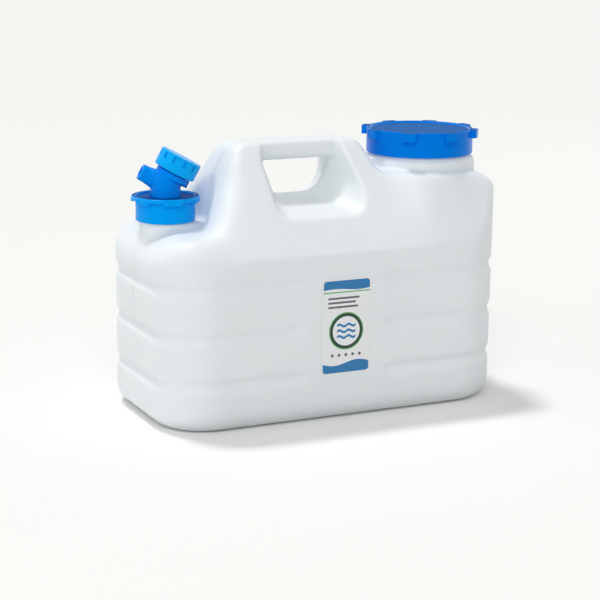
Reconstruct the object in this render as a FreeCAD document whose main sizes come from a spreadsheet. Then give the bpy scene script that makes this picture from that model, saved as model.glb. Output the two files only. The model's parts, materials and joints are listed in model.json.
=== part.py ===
"""Water jerrycan with a turning tap: parametric FreeCAD source, millimetres.

The can stands on the plane Z = 0 with its centre at X = Y = 0.  Its length runs along X, from the
tap (-X) to the wide filling mouth (+X).  The broad front face, which has the label, looks at -Y.
"""
import FreeCAD, Part
import Sketcher
import math
import os
import re

Vector = FreeCAD.Vector

# ----------------------------------------------------------------------------------------------
# Driving dimensions, in millimetres and degrees
# ----------------------------------------------------------------------------------------------
SIZES = [
    # blow-moulded can
    ("can_length", 350, "overall length along X"),
    ("can_depth", 179, "overall depth along Y"),
    ("can_height", 252, "height of the top of the handle"),
    ("can_corner", 52, "radius of the upright corners, seen from above"),
    ("foot_round", 20, "rounding between the walls and the base"),
    ("crease_drop", 96, "from the handle's top down to where the broad faces start to lean in"),
    ("tap_deck_drop", 75, "from the handle's top down to the shoulder under the tap"),
    ("mouth_deck_drop", 31, "from the handle's top down to the shoulder under the wide mouth"),
    ("deck_round", 32, "rounding of the shoulders down to the end walls"),
    ("end_break", 0.4, "distance outside the end wall at which the shoulder rounding starts"),
    ("deck_valley", 16, "hollow rounding where the handle rises from the tap shoulder"),
    ("mouth_valley", 9, "hollow rounding where the handle rises from the mouth shoulder"),
    ("rim_round", 10, "rounding along the upper rims of the broad faces"),
    ("rim_share", 0.27, "largest such rounding, as a share of the end wall's flat half width"),
    # handle
    ("tap_deck_run", 22.5, "from the tap's axis to the foot of the handle's left slope"),
    ("left_slope_run", 39.5, "length along X of the handle's left slope"),
    ("mouth_deck_gap", 8, "from the foot of the handle's right slope to the bead of the wide neck"),
    ("right_slope_run", 14, "length along X of the handle's right slope"),
    ("handle_corner", 16, "rounding of the two top corners of the handle"),
    ("handle_half_depth", 19, "half depth of the handle at its top"),
    ("mouth_side_gap", 13.5, "from the wide neck to the leaning faces, at the mouth shoulder"),
    ("lean_turn_lead", 9, "how far before the handle's foot the leaning faces begin to widen"),
    ("lean_turn_run", 60, "length along X over which the leaning faces widen"),
    # hand hole: outline on the parting plane, and how its flanks open outwards
    ("bar_thickness", 18, "height of the grip bar"),
    ("bar_setback", 1, "how much slimmer the grip bar is than its posts, on each face"),
    ("bar_bevel", 5, "bevel of the grip bar's lower edges"),
    ("left_post", 28, "length of the handle's top over the left post"),
    ("right_post", 25.3, "length of the handle's top over the right post"),
    ("hole_height", 32.8, "height of the hand hole"),
    ("hole_lean", 15, "how far the hole's left side leans in towards the sill"),
    ("hole_corner_left", 12, "rounding of the hole's lower left corner"),
    ("hole_corner_right", 24, "rounding of the hole's lower right corner"),
    ("hole_draft", 0.14, "opening of the hole for each millimetre of depth, within the bar"),
    ("flare_side", 29.5, "how much wider the hole is on each side at the broad face"),
    ("flare_sill", 19.5, "how much lower the sill is at the broad face"),
    ("flare_corner_left", 22, "rounding of the flare's lower left corner at the broad face"),
    # stiffening grooves
    ("groove_low_z", 45.2, "height of the lowest groove"),
    ("groove_top_drop", 24.2, "from the crease down to the highest groove"),
    ("groove_count", 3, "number of grooves"),
    ("groove_radius", 6.5, "radius of the groove's round section"),
    ("groove_sink", 3.6, "depth of the groove below the wall"),
    # label
    ("label_x", -1.5, "middle of the label and of its plain panel"),
    ("label_width", 49.5, "width of the label"),
    ("panel_margin", 15, "plain panel on each side of the label"),
    ("label_foot_z", 45, "lower edge of the label"),
    ("label_top_drop", 22, "from the crease down to the label's upper edge"),
    ("label_corner", 4, "corner radius of the label"),
    ("label_film", 0.3, "thickness of the label film"),
    # wide mouth and its lid
    ("mouth_end_gap", 5.5, "from the end wall to the wide neck"),
    ("mouth_neck_radius", 48.5, "outer radius of the wide neck"),
    ("mouth_neck_height", 31.5, "height of the wide neck above its shoulder"),
    ("mouth_bead_reach", 5.5, "how far the bead at the neck's foot stands out"),
    ("mouth_bead_drop", 1, "lowest part of the bead above the shoulder"),
    ("mouth_bead_height", 8, "height of that bead"),
    ("cap_clearance", 0.4, "gap between a cap's skirt and its neck"),
    ("lid_wall", 2.6, "thickness of the wide lid's skirt"),
    ("lid_crown", 4, "thickness of the wide lid at its rim"),
    ("lid_depth", 19.8, "length of the skirt over the neck"),
    ("lid_dish", 1.5, "depth of the dished top of the wide lid"),
    ("lid_rim_width", 3, "width of the raised rim round the dish"),
    ("lid_tab_count", 8, "number of grip tabs"),
    ("lid_tab_out", 5, "how far a tab stands out from the skirt"),
    ("lid_tab_width", 14, "width of a tab"),
    ("lid_tab_height", 8, "height of a tab"),
    ("lid_tab_corner", 2, "corner radius of a tab"),
    ("lid_tab_turn", 5, "angle of the first tab from +X"),
    ("lid_edge", 1, "rounding of the caps' outer edges"),
    # tap mouth and its screw cap
    ("tap_end_gap", 7.5, "from the end wall to the tap neck"),
    ("tap_neck_radius", 24.5, "outer radius of the tap neck"),
    ("tap_neck_height", 25, "height of the tap neck above its shoulder"),
    ("ring_wall", 2.4, "thickness of the tap cap's skirt"),
    ("ring_depth", 19, "length of the tap cap's skirt over the neck"),
    ("ring_web", 2.5, "thickness of the tap cap's dished middle"),
    ("ring_dish", 1.5, "depth of the dished middle"),
    ("ring_rim_width", 5, "width of the flange's raised rim"),
    ("ring_flange_out", 4.2, "how far the flange stands out from the skirt"),
    ("ring_flange_height", 3.8, "thickness of the flange"),
    ("ring_edge", 1.8, "rounding of the flange's edges"),
    ("ring_lobe_count", 6, "number of lobes under the flange"),
    ("ring_lobe_width", 17.5, "width of a lobe"),
    ("ring_lobe_drop", 2, "height of a lobe below the flange"),
    ("ring_lobe_setback", 0.5, "how far a lobe stays inside the flange's edge"),
    ("ring_lobe_corner", 3, "corner radius of a lobe"),
    ("ring_lobe_turn", 23.5, "angle of the first lobe from +X"),
    ("scoop_gap", 7.4, "gap between the flange and the foot of the scoop in the handle"),
    ("scoop_lean", 8, "how much wider the scoop is at its top"),
    ("scoop_height", 47, "height of the scoop above the tap shoulder"),
    ("scoop_round", 8, "rounding of the scoop's foot"),
    # tap
    ("tap_turn", -14, "turn of the tap about its upright stem"),
    ("tap_tilt", 28, "tilt of the knob's axis from upright"),
    ("pivot_rise", 7.5, "from the cap's dish to where the knob's axis crosses the stem's"),
    ("stem_radius", 14, "radius of the stem"),
    ("spigot_radius", 9, "radius of the spigot that plugs the cap"),
    ("spigot_clearance", 0.15, "gap round the spigot"),
    ("face_rise", 10.4, "distance along the knob's axis from the crossing to the valve face"),
    ("nozzle_rise", 3.2, "distance along the knob's axis from the crossing to the nozzle's axis"),
    ("nozzle_radius", 6.7, "outer radius of the outlet nozzle"),
    ("nozzle_bore", 5.3, "radius of the outlet's bore"),
    ("nozzle_reach", 27.5, "length of the nozzle from the knob's axis"),
    ("nozzle_bore_depth", 16, "depth of the outlet's bore"),
    ("collar_radius", 15.5, "radius of the collar under the knob"),
    ("collar_height", 5.2, "height of the collar"),
    ("lug_out", 1.4, "how far the stop lug stands out from the collar"),
    ("lug_width", 4, "width of the stop lug"),
    ("lug_drop", 2, "how far the stop lug reaches below the valve face"),
    ("journal_radius", 8, "radius of the journal that carries the knob"),
    ("journal_height", 10, "height of the journal above the collar"),
    ("running_gap", 0.3, "running clearance between the knob and the tap"),
    ("knob_gap", 1, "height from the collar to the knob's grip"),
    ("knob_boss_radius", 13, "radius of the boss under the grip"),
    ("knob_radius", 19.6, "radius of the grip"),
    ("knob_height", 16.2, "height of the grip"),
    ("knob_edge", 1.2, "rounding of the grip's edges"),
    ("notch_count", 12, "number of grip notches"),
    ("notch_turn", 7, "angle of the first notch from the knob's own X"),
    ("notch_width", 2.8, "width of a notch"),
    ("notch_depth", 1.5, "depth of a notch"),
    ("notch_height", 5.5, "height of a notch"),
    ("notch_drop", 2.2, "distance from the grip's top to a notch"),
]

doc = FreeCAD.newDocument("WaterJerrycan")
sheet = doc.addObject("Spreadsheet::Sheet", "Sizes")
for row, (alias, size, meaning) in enumerate(SIZES, start=1):
    sheet.set(f"A{row}", meaning)
    sheet.set(f"B{row}", str(size))
    sheet.setAlias(f"B{row}", alias)
doc.recompute()


def value(expression):
    """The present value of an expression in the sheet's aliases."""
    return float(sheet.evalExpression(str(expression)))


def cells(expression):
    """The expression with every alias written as a reference to the sheet."""
    text = str(expression)
    for alias in sorted((name for name, _size, _meaning in SIZES), key=len, reverse=True):
        text = re.sub(rf"(?<![\w.]){alias}(?!\w)", f"Sizes.{alias}", text)
    return text


# ----------------------------------------------------------------------------------------------
# Helpers for sketches and features
# ----------------------------------------------------------------------------------------------
def new_body(name):
    """An empty body whose label is the name of its piece."""
    body = doc.addObject("PartDesign::Body", name)
    body.Label = name
    return body


def origin_part(body, role):
    """A plane or axis of the body's own origin, such as XY_Plane or Z_Axis."""
    return next(part for part in body.Origin.OriginFeatures if part.Role == role)


def place(body, across="0", back="0", up="0", yaw="0", pitch="0"):
    """Sets a piece in the frame: its origin, then its turn about Z and its tilt about its own Y."""
    turn = FreeCAD.Rotation(value(yaw), value(pitch), 0)
    body.Placement = FreeCAD.Placement(Vector(value(across), value(back), value(up)), turn)
    for name, expression in (
        ("Base.x", across), ("Base.y", back), ("Base.z", up),
        ("Rotation.Yaw", yaw), ("Rotation.Pitch", pitch),
    ):
        body.setExpression(f"Placement.{name}", cells(expression))


def new_sketch(body, name, plane, lift="0"):
    """A sketch on one of the body's origin planes, lifted along that plane's normal."""
    sketch = body.newObject("Sketcher::SketchObject", name)
    sketch.AttachmentSupport = [(origin_part(body, plane), "")]
    sketch.MapMode = "FlatFace"
    sketch.setExpression("AttachmentOffset.Base.z", cells(lift))
    return sketch


def pin(sketch, index, end, across, up):
    """Ties one end of a sketch line to two expressions."""
    for kind, expression in (("DistanceX", across), ("DistanceY", up)):
        number = sketch.addConstraint(
            Sketcher.Constraint(kind, -1, 1, index, end, value(expression))
        )
        sketch.setExpression(f"Constraints[{number}]", cells(expression))


def outline(sketch, corners, closed=True):
    """An outline through corners given as expressions: across, up and, if round, a radius."""
    spots = [Vector(value(corner[0]), value(corner[1]), 0) for corner in corners]
    count = len(corners)
    arrive = list(spots)
    leave = list(spots)
    bends = {}
    for number, corner in enumerate(corners):
        if len(corner) == 3:
            back = (spots[number - 1] - spots[number]).normalize()
            ahead = (spots[(number + 1) % count] - spots[number]).normalize()
            half = back.getAngle(ahead) / 2
            radius = value(corner[2])
            arrive[number] = spots[number] + back * (radius / math.tan(half))
            leave[number] = spots[number] + ahead * (radius / math.tan(half))
            centre = spots[number] + (back + ahead).normalize() * (radius / math.sin(half))
            left_turn = ahead.cross(back).z > 0
            bends[number] = centre, radius, left_turn
    lines = [
        sketch.addGeometry(Part.LineSegment(leave[number], arrive[(number + 1) % count]))
        for number in range(count if closed else count - 1)
    ]
    if not closed:
        pin(sketch, lines[0], 1, *corners[0])
        pin(sketch, lines[-1], 2, *corners[-1])
    for number, corner in enumerate(corners):
        if not closed and number in (0, count - 1):
            continue
        before = lines[number - 1]
        after = lines[number]
        if number not in bends:
            sketch.addConstraint(Sketcher.Constraint("Coincident", before, 2, after, 1))
            pin(sketch, after, 1, corner[0], corner[1])
            continue
        centre, radius, left_turn = bends[number]
        start = (arrive if left_turn else leave)[number] - centre
        stop = (leave if left_turn else arrive)[number] - centre
        first_angle = math.atan2(start.y, start.x)
        sweep = (math.atan2(stop.y, stop.x) - first_angle) % (2 * math.pi)
        ring = Part.Circle(centre, Vector(0, 0, 1), radius)
        arc = sketch.addGeometry(Part.ArcOfCircle(ring, first_angle, first_angle + sweep))
        came, went = (1, 2) if left_turn else (2, 1)
        sketch.addConstraint(Sketcher.Constraint("Tangent", before, 2, arc, came))
        sketch.addConstraint(Sketcher.Constraint("Tangent", arc, went, after, 1))
        bend = sketch.addConstraint(Sketcher.Constraint("Radius", arc, value(corner[2])))
        sketch.setExpression(f"Constraints[{bend}]", cells(corner[2]))
        spot = sketch.addGeometry(Part.Point(spots[number]), True)
        pin(sketch, spot, 1, corner[0], corner[1])
        sketch.addConstraint(Sketcher.Constraint("PointOnObject", spot, 1, before))
        sketch.addConstraint(Sketcher.Constraint("PointOnObject", spot, 1, after))


def circle(sketch, across, up, radius):
    """A circle tied to expressions for its centre and radius."""
    centre = Vector(value(across), value(up), 0)
    index = sketch.addGeometry(Part.Circle(centre, Vector(0, 0, 1), value(radius)))
    pin(sketch, index, 3, across, up)
    number = sketch.addConstraint(Sketcher.Constraint("Radius", index, value(radius)))
    sketch.setExpression(f"Constraints[{number}]", cells(radius))


def pad(body, sketch, name, height, reversed_way=False):
    """Adds the sketch's area, drawn out to a height."""
    feature = body.newObject("PartDesign::Pad", name)
    feature.Profile = sketch
    feature.setExpression("Length", cells(height))
    feature.Reversed = reversed_way
    return feature


def pocket_through(body, sketch, name):
    """Cuts the sketch's area right through, both ways."""
    feature = body.newObject("PartDesign::Pocket", name)
    feature.Profile = sketch
    feature.Type = "ThroughAll"
    feature.SideType = "Symmetric"
    return feature


def revolved(body, name, corners, kind="Revolution", centre="0"):
    """A shape turned about an upright axis from a half section of radius and height pairs."""
    sketch = new_sketch(body, f"{name}_section", "XZ_Plane")
    outline(sketch, corners)
    sketch.setExpression("AttachmentOffset.Base.x", cells(centre))
    feature = body.newObject(f"PartDesign::{kind}", name)
    feature.Profile = sketch
    feature.ReferenceAxis = (sketch, ["V_Axis"])
    feature.Angle = 360
    return feature


def loft(body, kind, sketches, name):
    """A straight-sided loft between sketches, added to the body or cut from it."""
    feature = body.newObject(f"PartDesign::{kind}Loft", name)
    feature.Profile = sketches[0]
    feature.Sections = sketches[1:]
    feature.Ruled = True
    return feature


def mirror(body, feature, name, plane):
    """The same feature again on the other side of one of the body's planes."""
    copy = body.newObject("PartDesign::Mirrored", name)
    copy.Originals = [feature]
    copy.MirrorPlane = (origin_part(body, plane), [""])
    body.Tip = copy
    return copy


def polar(body, feature, name, count):
    """The feature repeated evenly about the body's upright axis."""
    copies = body.newObject("PartDesign::PolarPattern", name)
    copies.Originals = [feature]
    copies.Axis = (origin_part(body, "Z_Axis"), [""])
    copies.Angle = 360
    copies.setExpression("Occurrences", cells(count))
    body.Tip = copies
    return copies


def round_edges(body, name, radius, chosen):
    """Fillets those edges of the body's tip for which chosen(edge) is true."""
    doc.recompute()
    base = body.Tip
    edges = [f"Edge{number}" for number, edge in enumerate(base.Shape.Edges, start=1) if chosen(edge)]
    feature = body.newObject("PartDesign::Fillet", name)
    feature.Base = (base, edges)
    feature.setExpression("Radius", cells(radius))
    return feature


def middle(edge):
    """The point half way along an edge."""
    return edge.valueAt(0.5 * (edge.FirstParameter + edge.LastParameter))


def crease_angle(shape, edge):
    """The angle in radians between the outward normals of the two faces that meet at an edge."""
    point = middle(edge)
    normals = []
    for face in shape.ancestorsOfType(edge, Part.Face):
        across, up = face.Surface.parameter(point)
        normals.append(face.normalAt(across, up))
    return normals[0].getAngle(normals[-1])


def near(number, expression, slack=0.01):
    """Whether a measured coordinate is the one that an expression gives."""
    return abs(number - value(expression)) < slack


# ----------------------------------------------------------------------------------------------
# Positions that follow from the sizes
# ----------------------------------------------------------------------------------------------
HALF_LENGTH = "can_length / 2"
HALF_DEPTH = "can_depth / 2"
CREASE = "(can_height - crease_drop)"
TAP_DECK = "(can_height - tap_deck_drop)"
MOUTH_DECK = "(can_height - mouth_deck_drop)"
MOUTH_X = f"({HALF_LENGTH} - mouth_end_gap - mouth_neck_radius)"
MOUTH_RIM = f"({MOUTH_DECK} + mouth_neck_height)"
TAP_X = f"(tap_end_gap + tap_neck_radius - {HALF_LENGTH})"
TAP_RIM = f"({TAP_DECK} + tap_neck_height)"
HANDLE_FOOT_LEFT = f"({TAP_X} + tap_deck_run)"
HANDLE_TOP_LEFT = f"({HANDLE_FOOT_LEFT} + left_slope_run)"
HANDLE_FOOT_RIGHT = f"({MOUTH_X} - mouth_neck_radius - mouth_bead_reach - mouth_deck_gap)"
HANDLE_TOP_RIGHT = f"({HANDLE_FOOT_RIGHT} - right_slope_run)"
RING_RADIUS = "(tap_neck_radius + cap_clearance + ring_wall)"
FLANGE_RADIUS = f"({RING_RADIUS} + ring_flange_out)"
RING_WEB_TOP = f"({TAP_RIM} + ring_web)"
RING_TOP = f"({RING_WEB_TOP} + ring_dish)"

# ----------------------------------------------------------------------------------------------
# Can: one blow-moulded hollow, modelled as the solid that its outer skin bounds
# ----------------------------------------------------------------------------------------------
can = new_body("can_body")
plan = new_sketch(can, "can_plan", "XY_Plane")
outline(plan, [
    (f"-{HALF_LENGTH}", f"-{HALF_DEPTH}", "can_corner"),
    (HALF_LENGTH, f"-{HALF_DEPTH}", "can_corner"),
    (HALF_LENGTH, HALF_DEPTH, "can_corner"),
    (f"-{HALF_LENGTH}", HALF_DEPTH, "can_corner"),
])
pad(can, plan, "can_block", "can_height")

# The shoulders are cut down on both sides of the handle, with its corners rounded.  Each shoulder's
# arc starts just outside the end wall, so it meets the wall at a small angle that the rim's
# rounding then softens.
ABOVE = "(can_height + 20)"
END_LINE = f"({HALF_LENGTH} + end_break)"
tap_side = new_sketch(can, "above_tap_deck", "XZ_Plane")
outline(tap_side, [
    ("-can_length", f"{TAP_DECK} - deck_round - 1"),
    (f"-{END_LINE}", f"{TAP_DECK} - deck_round - 1"),
    (f"-{END_LINE}", TAP_DECK, "deck_round"),
    (HANDLE_FOOT_LEFT, TAP_DECK, "deck_valley"),
    (HANDLE_TOP_LEFT, "can_height", "handle_corner"),
    ("0", "can_height"),
    ("0", ABOVE),
    ("-can_length", ABOVE),
])
pocket_through(can, tap_side, "tap_deck_cut")
mouth_side = new_sketch(can, "above_mouth_deck", "XZ_Plane")
outline(mouth_side, [
    ("can_length", f"{MOUTH_DECK} - deck_round - 1"),
    ("can_length", ABOVE),
    ("0", ABOVE),
    ("0", "can_height"),
    (HANDLE_TOP_RIGHT, "can_height", "handle_corner"),
    (HANDLE_FOOT_RIGHT, MOUTH_DECK, "mouth_valley"),
    (END_LINE, MOUTH_DECK, "deck_round"),
    (END_LINE, f"{MOUTH_DECK} - deck_round - 1"),
])
pocket_through(can, mouth_side, "mouth_deck_cut")

# Above the crease both broad faces lean in: strongly at the handle, less at the wide mouth, with an
# easy S-shaped turn between the two.
LEAN_PER_MM = f"({HALF_DEPTH} - mouth_neck_radius - mouth_side_gap) / (crease_drop - mouth_deck_drop)"
NARROW = "handle_half_depth"
WIDE = f"({HALF_DEPTH} - {LEAN_PER_MM} * crease_drop)"
LEAN_START = f"({HANDLE_FOOT_RIGHT} - lean_turn_lead)"
LEAN_END = f"({LEAN_START} + lean_turn_run)"


def lean_outline(sketch, narrow, wide, curved):
    """The area outside a broad face: narrow half depth on the left, wide half depth on the right."""
    corners = [
        ("-can_length", f"-({narrow})"),
        (LEAN_START, f"-({narrow})"),
        (f"{LEAN_START} + lean_turn_run / 2", f"-({narrow} + {wide}) / 2"),
        (LEAN_END, f"-({wide})"),
        ("can_length", f"-({wide})"),
        ("can_length", "-can_depth"),
        ("-can_length", "-can_depth"),
    ]
    if not curved:
        outline(sketch, corners)
        return
    points = [Vector(value(across), value(up), 0) for across, up in corners]
    run = points[3].x - points[1].x
    rise = points[1].y - points[3].y
    radius = (run * run + rise * rise) / (4 * rise)
    swing = math.asin(run / 2 / radius)
    down = Part.Circle(points[1] - Vector(0, radius, 0), Vector(0, 0, 1), radius)
    up = Part.Circle(points[3] + Vector(0, radius, 0), Vector(0, 0, 1), radius)
    sketch.addGeometry(Part.LineSegment(points[0], points[1]))
    sketch.addGeometry(Part.ArcOfCircle(down, math.pi / 2 - swing, math.pi / 2))
    sketch.addGeometry(Part.ArcOfCircle(up, 3 * math.pi / 2 - swing, 3 * math.pi / 2))
    sketch.addGeometry(Part.LineSegment(points[3], points[4]))
    sketch.addGeometry(Part.LineSegment(points[4], points[5]))
    sketch.addGeometry(Part.LineSegment(points[5], points[6]))
    sketch.addGeometry(Part.LineSegment(points[6], points[0]))
    sketch.addConstraint(Sketcher.Constraint("Tangent", 0, 2, 1, 2))
    sketch.addConstraint(Sketcher.Constraint("Coincident", 1, 1, 2, 1))
    sketch.addConstraint(Sketcher.Constraint("Tangent", 2, 2, 3, 1))
    for number in (3, 4, 5):
        sketch.addConstraint(Sketcher.Constraint("Coincident", number, 2, number + 1, 1))
    sketch.addConstraint(Sketcher.Constraint("Coincident", 6, 2, 0, 1))
    for index, end, corner in ((0, 1, 0), (0, 2, 1), (1, 1, 2), (3, 1, 3), (4, 1, 4), (5, 1, 5), (6, 1, 6)):
        pin(sketch, index, end, *corners[corner])


lean_foot = new_sketch(can, "lean_foot", "XY_Plane", CREASE)
lean_outline(lean_foot, HALF_DEPTH, HALF_DEPTH, curved=False)
lean_head = new_sketch(can, "lean_head", "XY_Plane", "can_height")
lean_outline(lean_head, NARROW, WIDE, curved=True)
lean_front = loft(can, "Subtractive", [lean_foot, lean_head], "lean_front")
mirror(can, lean_front, "lean_back", "XZ_Plane")

# One soft rounding runs along the whole upper rim: over the shoulders, the handle and both ends.
SHARP = 0.05


def on_upper_rim(edge):
    """Sharp edges above the crease, and those across the end walls, but none across the handle."""
    point = middle(edge)
    across_end = near(abs(point.x), HALF_LENGTH, 0.01) and near(point.y, "0", 0.01)
    if point.z < value("foot_round"):
        return False
    if abs(point.y) < value(NARROW) / 2 or point.z < value(CREASE) + 1:
        return across_end
    return crease_angle(can.Tip.Shape, edge) > SHARP


RIM_ROUND = f"min(rim_round; rim_share * ({HALF_DEPTH} - can_corner))"
round_edges(can, "rim_rounds", RIM_ROUND, on_upper_rim)

# The hand hole passes under the grip bar with a little draft from the parting plane to both faces of
# the bar.  Outside the bar it opens into a wide flare that is open to the top, which leaves the bar
# slimmer than the posts that carry it.
BAR_HALF_DEPTH = "(handle_half_depth - bar_setback)"
HOLE_TOP = "(can_height - bar_thickness)"
HOLE_SILL = f"({HOLE_TOP} - hole_height)"
HOLE_LEFT = f"({HANDLE_TOP_LEFT} + left_post)"
HOLE_RIGHT = f"({HANDLE_TOP_RIGHT} - right_post)"


def hole_section(name, depth, side, drop, corner_left="hole_corner_left", rise="0", open_top=False):
    """The hole's outline at a depth: widened, lowered at its sill, and raised or open at its top."""
    sketch = new_sketch(can, name, "XZ_Plane", depth)
    sill = f"{HOLE_SILL} - {drop}"
    left = f"{HOLE_LEFT} - {side}"
    right = f"{HOLE_RIGHT} + {side}"
    top = f"{HOLE_TOP} + {rise}"
    corners = [
        (f"{left} + hole_lean", sill, corner_left),
        (right, sill, "hole_corner_right"),
        (right, top),
        (left, top),
    ]
    if open_top:
        corners[3:] = [(right, ABOVE), (left, ABOVE), (left, top)]
    outline(sketch, corners)
    return sketch


DRAFT_AT_BEVEL = f"hole_draft * ({BAR_HALF_DEPTH} - bar_bevel)"
DRAFT_AT_BAR = f"hole_draft * {BAR_HALF_DEPTH}"
hole_middle = hole_section("hole_middle", "0", "0", "0")
hole_bevel = hole_section("hole_at_bevel", f"{BAR_HALF_DEPTH} - bar_bevel", DRAFT_AT_BEVEL, DRAFT_AT_BEVEL)
hole_bar = hole_section("hole_at_bar", BAR_HALF_DEPTH, DRAFT_AT_BAR, DRAFT_AT_BAR, rise="bar_bevel")
hole_front = loft(can, "Subtractive", [hole_middle, hole_bevel, hole_bar], "hole_front")
mirror(can, hole_front, "hole_back", "XZ_Plane")
flare_bar = hole_section("flare_at_bar", BAR_HALF_DEPTH, DRAFT_AT_BAR, DRAFT_AT_BAR, open_top=True)
flare_face = hole_section(
    "flare_at_face", HALF_DEPTH, "flare_side", "flare_sill", "flare_corner_left", open_top=True
)
flare_front = loft(can, "Subtractive", [flare_bar, flare_face], "flare_front")
mirror(can, flare_front, "flare_back", "XZ_Plane")

# The base is rounded where it meets the walls.
round_edges(can, "foot_rounds", "foot_round", lambda edge: near(middle(edge).z, "0"))

# Stiffening grooves run round the can and lift out at both ends of the plain label panel.
OFFSET = "(groove_radius - groove_sink)"
WALL_X = f"({HALF_LENGTH} + {OFFSET})"
WALL_Y = f"({HALF_DEPTH} + {OFFSET})"
LIFT = "groove_radius"
PANEL_LEFT = "(label_x - label_width / 2 - panel_margin)"
PANEL_RIGHT = "(label_x + label_width / 2 + panel_margin)"
groove_path = new_sketch(can, "groove_path", "XY_Plane", "groove_low_z")
outline(groove_path, [
    (f"{PANEL_RIGHT} - {LIFT}", f"-{WALL_Y} - {LIFT}"),
    (f"{PANEL_RIGHT} + {LIFT}", f"-{WALL_Y}", "2 * groove_radius"),
    (WALL_X, f"-{WALL_Y}", f"can_corner + {OFFSET}"),
    (WALL_X, WALL_Y, f"can_corner + {OFFSET}"),
    (f"-{WALL_X}", WALL_Y, f"can_corner + {OFFSET}"),
    (f"-{WALL_X}", f"-{WALL_Y}", f"can_corner + {OFFSET}"),
    (f"{PANEL_LEFT} - {LIFT}", f"-{WALL_Y}", "2 * groove_radius"),
    (f"{PANEL_LEFT} + {LIFT}", f"-{WALL_Y} - {LIFT}"),
], closed=False)
groove_section = new_sketch(can, "groove_section", "YZ_Plane", f"{PANEL_RIGHT} - {LIFT}")
circle(groove_section, f"-{WALL_Y} - {LIFT}", "groove_low_z", "groove_radius")
groove = can.newObject("PartDesign::SubtractivePipe", "groove")
groove.Profile = groove_section
groove.Spine = (groove_path, [])
grooves = can.newObject("PartDesign::LinearPattern", "grooves")
grooves.Originals = [groove]
grooves.Direction = (origin_part(can, "Z_Axis"), [""])
grooves.setExpression("Length", cells(f"{CREASE} - groove_top_drop - groove_low_z"))
grooves.setExpression("Occurrences", cells("groove_count"))
can.Tip = grooves

# The riser is scooped out round the tap, so that the cap and a hand have room.
SCOOP_RADIUS = f"({FLANGE_RADIUS} + scoop_gap)"
can.Tip = revolved(can, "tap_scoop", [
    ("0", TAP_DECK),
    (SCOOP_RADIUS, TAP_DECK, "scoop_round"),
    (f"{SCOOP_RADIUS} + scoop_lean", f"{TAP_DECK} + scoop_height"),
    ("0", f"{TAP_DECK} + scoop_height"),
], kind="Groove", centre=TAP_X)

# The wide neck stands on a round bead; the tap neck is plain.
MOUTH_FOOT = f"({MOUTH_DECK} - deck_round)"
BEAD_RADIUS = "(mouth_neck_radius + mouth_bead_reach)"
BEAD_FOOT = f"({MOUTH_DECK} + mouth_bead_drop)"
BEAD_TOP = f"({BEAD_FOOT} + mouth_bead_height)"
BEAD_ROUND = "(mouth_bead_height / 2 - 0.1)"
TAP_FOOT = f"({TAP_DECK} - deck_round)"
revolved(can, "mouth_neck", [
    ("0", MOUTH_FOOT),
    (BEAD_RADIUS, MOUTH_FOOT),
    (BEAD_RADIUS, BEAD_TOP, BEAD_ROUND),
    ("mouth_neck_radius", BEAD_TOP),
    ("mouth_neck_radius", MOUTH_RIM),
    ("0", MOUTH_RIM),
], centre=MOUTH_X)
revolved(can, "tap_neck", [
    ("0", TAP_FOOT),
    ("tap_neck_radius", TAP_FOOT),
    ("tap_neck_radius", TAP_RIM),
    ("0", TAP_RIM),
], centre=TAP_X)

# ----------------------------------------------------------------------------------------------
# Label: a thin film on the plain panel of the front face
# ----------------------------------------------------------------------------------------------
label = new_body("label")
label_shape = new_sketch(label, "label_shape", "XZ_Plane", HALF_DEPTH)
LABEL_TOP = f"{CREASE} - label_top_drop"
outline(label_shape, [
    ("label_x - label_width / 2", "label_foot_z", "label_corner"),
    ("label_x + label_width / 2", "label_foot_z", "label_corner"),
    ("label_x + label_width / 2", LABEL_TOP, "label_corner"),
    ("label_x - label_width / 2", LABEL_TOP, "label_corner"),
])
pad(label, label_shape, "label_film", "label_film")

# ----------------------------------------------------------------------------------------------
# Wide lid: a screw cap with grip tabs that hang from the rim of its top
# ----------------------------------------------------------------------------------------------
LID_INSIDE = "mouth_neck_radius + cap_clearance"
LID_RADIUS = f"({LID_INSIDE} + lid_wall)"
LID_FOOT = f"({MOUTH_RIM} - lid_depth)"
LID_TOP = f"({MOUTH_RIM} + lid_crown)"
lid = new_body("wide_lid")
revolved(lid, "lid_shell", [
    (LID_INSIDE, LID_FOOT),
    (LID_RADIUS, LID_FOOT, "lid_edge"),
    (LID_RADIUS, LID_TOP, "lid_edge"),
    (f"{LID_RADIUS} - lid_rim_width", LID_TOP),
    (f"{LID_RADIUS} - lid_rim_width - lid_dish", f"{LID_TOP} - lid_dish"),
    ("0", f"{LID_TOP} - lid_dish"),
    ("0", MOUTH_RIM),
    (LID_INSIDE, MOUTH_RIM),
])
tab_shape = new_sketch(lid, "tab_shape", "XY_Plane", f"{LID_TOP} - lid_tab_height")
TAB_ROOT = f"{LID_RADIUS} - lid_wall / 2"
TAB_REACH = f"{LID_RADIUS} + lid_tab_out"
outline(tab_shape, [
    (TAB_ROOT, "-lid_tab_width / 2"),
    (TAB_REACH, "-lid_tab_width / 2", "lid_tab_corner"),
    (TAB_REACH, "lid_tab_width / 2", "lid_tab_corner"),
    (TAB_ROOT, "lid_tab_width / 2"),
])
tab = pad(lid, tab_shape, "lid_tab", "lid_tab_height")
polar(lid, tab, "lid_tabs", "lid_tab_count")
place(lid, MOUTH_X, yaw="lid_tab_turn")

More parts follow.
